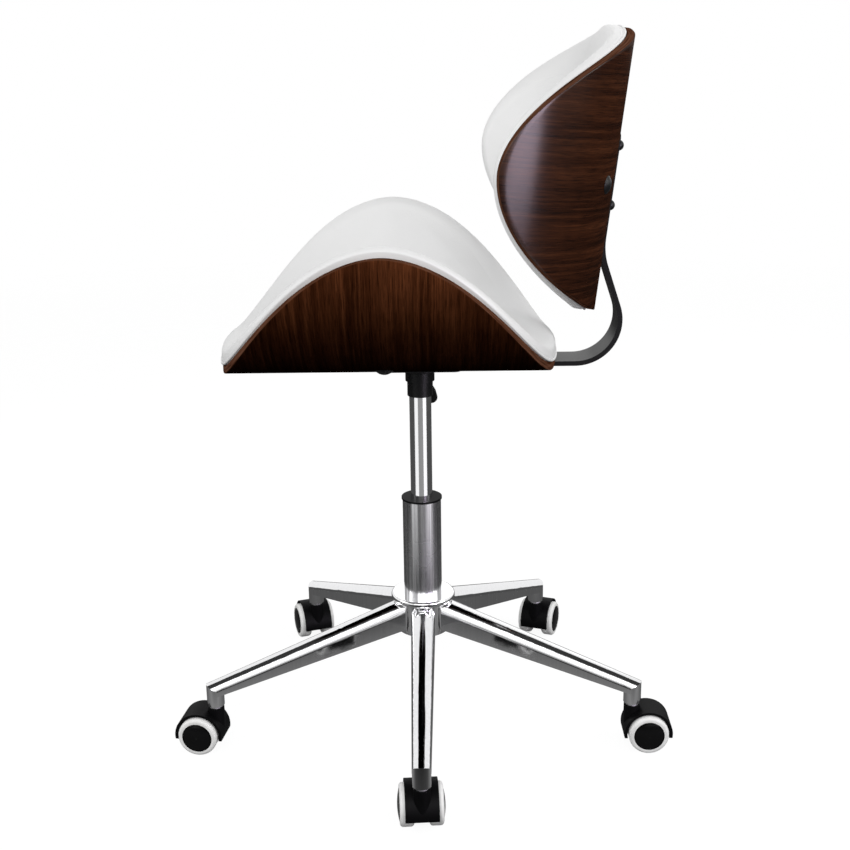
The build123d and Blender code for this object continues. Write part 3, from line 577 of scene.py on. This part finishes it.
def inflate(piece, foot):
    """Swells a cushion's cover a little by a short cloth simulation with its foot held.

    The move of each point is evened out and capped, and the modifier doesn't stay.
    """
    mesh = piece.data
    rest = np.empty(3 * len(mesh.vertices))
    mesh.vertices.foreach_get("co", rest)
    flat = np.empty(3 * len(mesh.vertices))
    mesh.attributes["sheet"].data.foreach_get("vector", flat)
    low = np.flatnonzero(flat[2::3] < foot + 2 * WELT_R)
    piece.vertex_groups.new(name="held").add([int(i) for i in low], 1.0, "REPLACE")
    cover = piece.modifiers.new("cover", "CLOTH")
    for setting, value in COVER.items():
        setattr(cover.settings, setting, value)
    cover.settings.vertex_group_mass = "held"
    cover.settings.effector_weights.gravity = 0
    cover.collision_settings.use_collision = False
    for step in range(1, COVER_FRAMES + 1):
        bpy.context.scene.frame_set(step)
    swollen = np.empty_like(rest)
    after = piece.evaluated_get(bpy.context.evaluated_depsgraph_get())
    after.data.vertices.foreach_get("co", swollen)
    move = evened(mesh, (swollen - rest).reshape(-1, 3))
    move *= np.clip((flat[2::3] - foot) / FREE_RISE, 0, 1)[:, None]
    size = np.maximum(np.linalg.norm(move, axis=1, keepdims=True), TINY)
    move *= np.minimum(size, SWELL) / size
    piece.modifiers.remove(cover)
    mesh.vertices.foreach_set("co", rest + move.ravel())
    mesh.update()
    bpy.context.scene.frame_set(1)


def pad(name, sheet, wood, proud, crown, node):
    """Crowned cushion with a rolled rim, swollen by a cloth simulation, and a welt at its foot."""
    x, y, border, _ = disc_grid(GRID)
    blank = wood._replace(
        low=wood.low + proud[0], high=wood.high + proud[0], around=wood.around + proud[1],
    )
    foot = SHELL_T + SOFT_GAP
    roll = towards_end(PAD_ROLL, x)
    top = SHELL_T + towards_end(PAD_RIM_T, x)
    rise = SHELL_T + crown - top
    middle = (foot + top) / 2
    inward = roll + (1 - np.hypot(x, y)) * ((blank.low + blank.around) / 2 - roll)
    inner = (roll, top + rise * swell(inward))
    rim = []
    for i in range(ROLL_STEPS - 1, -ROLL_STEPS, -1):
        a = pi / 2 * i / ROLL_STEPS
        inset = (roll if i > 0 else PAD_TUCK) * (1 - cos(a))
        depth = middle + (top - middle) * sin(a) + rise * (swell(inset) if i > 0 else 0)
        rim.append((np.broadcast_to(inset, x.shape)[border], depth[border]))
    piece = sheet_piece(name, sheet, blank, inner, rim, (PAD_TUCK, foot), LEATHER)
    inflate(piece, foot)
    piece.modifiers.new("smooth", "SUBSURF")
    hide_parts(node)
    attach(piece, "seat")
    welt = rim_tube(f"{name}_welt", sheet, blank, WELT_SINK, foot + WELT_R, WELT_R, LEATHER)
    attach(welt, "seat")


shell("seat_ply", SEAT, SEAT_BLANK, "seat_shell", SEAT_WALNUT)
shell("back_ply", BACK, BACK_BLANK, "back_shell", WALNUT)
pad("seat_cushion", SEAT, SEAT_BLANK, SEAT_PAD_PROUD, SEAT_PAD_T, "seat_pad")
pad("back_cushion", BACK, BACK_BLANK, BACK_PAD_PROUD, BACK_PAD_T, "back_pad")


# Stage
def background(tree):
    """1 for rays that show the background itself: camera, mirror and glass rays."""
    path = add(tree, "ShaderNodeLightPath")
    total = path.outputs["Is Camera Ray"]
    for name in ("Is Glossy Ray", "Is Transmission Ray"):
        most = add(tree, "ShaderNodeMath", operation="MAXIMUM")
        tree.links.new(total, most.inputs[0])
        tree.links.new(path.outputs[name], most.inputs[1])
        total = most.outputs["Value"]
    return total


def world():
    made = bpy.data.worlds.new("studio")
    made.use_nodes = True
    tree = made.node_tree
    light = tree.nodes["Background"]
    light.inputs["Color"].default_value = (1, 1, 1, 1)
    light.inputs["Strength"].default_value = WORLD_LIGHT
    shown = add(tree, "ShaderNodeBackground")
    shown.inputs["Color"].default_value = (1, 1, 1, 1)
    shown.inputs["Strength"].default_value = WORLD_SHOWN
    either = add(tree, "ShaderNodeMixShader")
    tree.links.new(background(tree), either.inputs["Fac"])
    tree.links.new(light.outputs["Background"], either.inputs[1])
    tree.links.new(shown.outputs["Background"], either.inputs[2])
    tree.links.new(either.outputs["Shader"], tree.nodes["World Output"].inputs["Surface"])
    bpy.context.scene.world = made


def floor():
    """Pale floor that keeps the shadow and fades into the white background."""
    tint = (FLOOR_TONE, FLOOR_TONE, FLOOR_TONE, 1)
    made, tree, shader = material("floor", roughness=0.9, base_color=tint)
    shown = background(tree)
    glow = add(tree, "ShaderNodeEmission")
    glow.inputs["Color"].default_value = (1, 1, 1, 1)
    tree.links.new(mapped(tree, shown, 0.0, FLOOR_GLOW), glow.inputs["Strength"])
    both = add(tree, "ShaderNodeAddShader")
    tree.links.new(shader.outputs["BSDF"], both.inputs[0])
    tree.links.new(glow.outputs["Emission"], both.inputs[1])
    clear = add(tree, "ShaderNodeBsdfTransparent")
    away = add(tree, "ShaderNodeVectorMath", operation="LENGTH")
    tree.links.new(object_place(tree), away.inputs[0])
    fade = add(tree, "ShaderNodeMixShader")
    tree.links.new(mapped(tree, away.outputs["Value"], 0, 1, *FLOOR_FADE), fade.inputs["Fac"])
    tree.links.new(both.outputs["Shader"], fade.inputs[1])
    tree.links.new(clear.outputs["BSDF"], fade.inputs[2])
    tree.links.new(fade.outputs["Shader"], tree.nodes["Material Output"].inputs["Surface"])
    piece = new_object("floor", *sector(0, 180, 0, FLOOR_FADE[1], 0), made)


def arc(azimuth, half_width, steps, edges):
    """Band about the chair between two edges, each a (radius, height).

    Azimuth 0 is the side of the photo's camera and +90 is +X.
    """
    verts = []
    for i in range(steps + 1):
        a = radians(azimuth + half_width * (2 * i / steps - 1))
        verts += [(r * sin(a), -r * cos(a), z) for r, z in edges]
    faces = [(2 * i, 2 * i + 1, 2 * i + 3, 2 * i + 2) for i in range(steps)]
    return verts, faces


def sector(azimuth, half_width, near, far, height):
    return arc(azimuth, half_width, SECTOR_STEPS, ((near, height), (far, height)))


def wall(azimuth, half_width, distance, foot, top):
    return arc(azimuth, half_width, WALL_STEPS, ((distance, foot), (distance, top)))


def card(name, shape, colour):
    """Card that only shows as a reflection, in one colour or in (Y, tone) stops across it."""
    made = bpy.data.materials.new(name)
    made.use_nodes = True
    tree = made.node_tree
    glow = add(tree, "ShaderNodeEmission")
    if isinstance(colour[0], tuple):
        split = add(tree, "ShaderNodeSeparateXYZ")
        tree.links.new(object_place(tree), split.inputs["Vector"])
        across = mapped(tree, split.outputs["Y"], 0, 1, -UNDER_R, UNDER_R)
        stops = [((y + UNDER_R) / (2 * UNDER_R), (tone, tone, tone)) for y, tone in colour]
        tree.links.new(ramp(tree, across, *stops), glow.inputs["Color"])
    else:
        glow.inputs["Color"].default_value = (*colour, 1)
    tree.links.new(glow.outputs["Emission"], tree.nodes["Material Output"].inputs["Surface"])
    piece = new_object(name, *shape, made)
    piece.visible_camera = False
    piece.visible_diffuse = False
    piece.visible_shadow = False
    piece.visible_transmission = False


def lamp(name, place, size, power):
    data = bpy.data.lights.new(name, "AREA")
    data.shape = "RECTANGLE"
    data.size, data.size_y = size
    data.energy = power
    piece = bpy.data.objects.new(name, data)
    piece.location = place
    aim = Vector(LAMP_TARGET) - Vector(place)
    piece.rotation_euler = aim.to_track_quat("-Z", "Y").to_euler()
    bpy.context.scene.collection.objects.link(piece)


def camera():
    data = bpy.data.cameras.new("camera")
    data.sensor_width = SENSOR
    data.lens = CAMERA_LENS
    piece = bpy.data.objects.new("camera", data)
    piece.location = CAMERA_AT
    turn = Matrix.Rotation(CAMERA_YAW, 3, "Z") @ Matrix.Rotation(pi / 2 - CAMERA_PITCH, 3, "X")
    piece.rotation_euler = (turn @ Matrix.Rotation(CAMERA_ROLL, 3, "Z")).to_euler()
    bpy.context.scene.collection.objects.link(piece)
    bpy.context.scene.camera = piece


bpy.context.scene.view_settings.view_transform = "Standard"
world()
floor()
for name, (azimuth, half_width, near, far, tone) in CARDS.items():
    card(name, sector(azimuth, half_width, near, far, CARD_Z), (tone, tone, tone))
card("card_under", sector(0, 180, 0, UNDER_R, CARD_Z), UNDER_TONES)
card("panel", wall(*PANEL), PANEL_COLOUR)
height, reach, near, far = STRIP
strip = [(-reach, near, height), (reach, near, height), (reach, far, height), (-reach, far, height)]
card("strip", (strip, [(0, 1, 2, 3)]), (STRIP_TONE, STRIP_TONE, STRIP_TONE))
for name, (place, size, power) in LAMPS.items():
    lamp(name, place, size, power)
camera()
